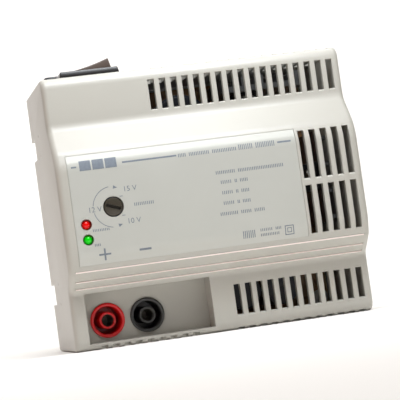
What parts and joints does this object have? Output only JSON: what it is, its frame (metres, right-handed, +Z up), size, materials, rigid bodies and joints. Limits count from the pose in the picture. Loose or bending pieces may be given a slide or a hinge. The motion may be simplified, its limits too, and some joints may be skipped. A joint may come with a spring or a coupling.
{
  "type": "bench power supply",
  "caption": "Small bench power supply in a stepped ventilated case, with a recessed pair of safety sockets, a screwdriver adjuster, a rocker switch and a mains inlet on top.",
  "frame": {"origin": "centre of the footprint, on the face that the case stands on", "axes": "+X to the right along the front, the front faces -Y, +Z up"},
  "size_m": [0.106, 0.06, 0.0997],
  "materials": {
    "case_grey": "satin moulded ABS",
    "back_grey": "satin moulded ABS",
    "label_film": "satin printed polyester film",
    "insulation_film": "matt sheet",
    "board_brown": "paper phenolic laminate",
    "screw_steel": "zinc plated",
    "spacer_white": "moulded nylon",
    "led_red": "clear tinted epoxy",
    "led_green": "clear tinted epoxy",
    "pot_blue": "moulded",
    "spindle_black": "moulded",
    "phosphor_bronze": "rolled spring strip",
    "socket_red": "moulded polyamide",
    "socket_black": "moulded polyamide",
    "contact_plated": "turned, plated",
    "nut_dark": "moulded",
    "tinned_copper": "tinned",
    "wire_red": "soft insulation",
    "wire_black": "soft insulation",
    "wire_brown": "soft insulation",
    "wire_blue": "soft insulation",
    "switch_black": "moulded",
    "rocker_brown": "fine textured",
    "terminal_brass": "stamped",
    "inlet_black": "moulded",
    "block_green": "moulded",
    "ceramic_white": "ceramic tube",
    "disc_blue": "dipped",
    "box_yellow": "moulded box",
    "ferrite": "sintered",
    "copper_wire": "enamelled",
    "package_black": "moulded epoxy",
    "capacitor_sleeve": "shrink sleeve",
    "heatsink_aluminium": "extruded",
    "opto_white": "moulded epoxy",
    "winding_tape": "polyester tape",
    "core_yellow": "epoxy coated",
    "ribbon_grey": "soft insulation"
  },
  "bodies": {
    "case": {"front_cover": "case_grey", "back_cover": "back_grey", "label_overlay": "label_film", "insulation_sheet": "insulation_film", "main_board": "board_brown", "board_screws": "screw_steel", "control_board": "board_brown", "control_board_screws": "screw_steel", "led_spacers": "spacer_white", "led_red": "led_red", "led_green": "led_green", "potentiometer_body": "pot_blue", "red_socket_shell": "socket_red", "black_socket_shell": "socket_black", "socket_contact_tubes": "contact_plated", "socket_ring_nuts": "nut_dark", "socket_ring_terminals": "tinned_copper", "socket_stud_nuts": "screw_steel", "output_lead_red": "wire_red", "output_lead_black": "wire_black", "switch_housing": "switch_black", "switch_pivot_pin": "screw_steel", "switch_contact_arms": "phosphor_bronze", "switch_terminals": "terminal_brass", "inlet_housing": "inlet_black", "inlet_pins": "tinned_copper", "mains_lead_live": "wire_brown", "mains_lead_neutral": "wire_blue", "terminal_block": "block_green", "fuse": "ceramic_white", "fuse_clips": "tinned_copper", "varistor": "disc_blue", "x_capacitor": "box_yellow", "y_capacitors": "disc_blue", "choke_core": "ferrite", "choke_windings": "copper_wire", "bridge_rectifier": "package_black", "bulk_capacitor": "capacitor_sleeve", "primary_transistor": "package_black", "primary_heatsink": "heatsink_aluminium", "controller_chip": "package_black", "optocoupler": "opto_white", "transformer_core": "ferrite", "transformer_bobbin": "package_black", "transformer_winding": "winding_tape", "output_diode": "package_black", "secondary_heatsink": "heatsink_aluminium", "output_choke_core": "core_yellow", "output_choke_winding": "copper_wire", "output_capacitors": "capacitor_sleeve", "current_shunt": "phosphor_bronze", "heatsink_screws": "screw_steel", "ribbon_cable": "ribbon_grey"},
    "rocker": {"switch_rocker": "rocker_brown"},
    "spindle": {"adjuster_spindle": "spindle_black", "potentiometer_wiper": "phosphor_bronze"}
  },
  "joints": [
    {"name": "rocker_pivot", "type": "hinge", "parent": "case", "child": "rocker", "pos_m": [-0.0349, -0.008, 0.0939], "axis": [0, 1, 0], "range_deg": [0, 26]},
    {"name": "adjuster_turn", "type": "hinge", "parent": "case", "child": "spindle", "pos_m": [-0.0351, -0.025, 0.0471], "axis": [0, 1, 0], "range_deg": [-135, 135]}
  ]
}
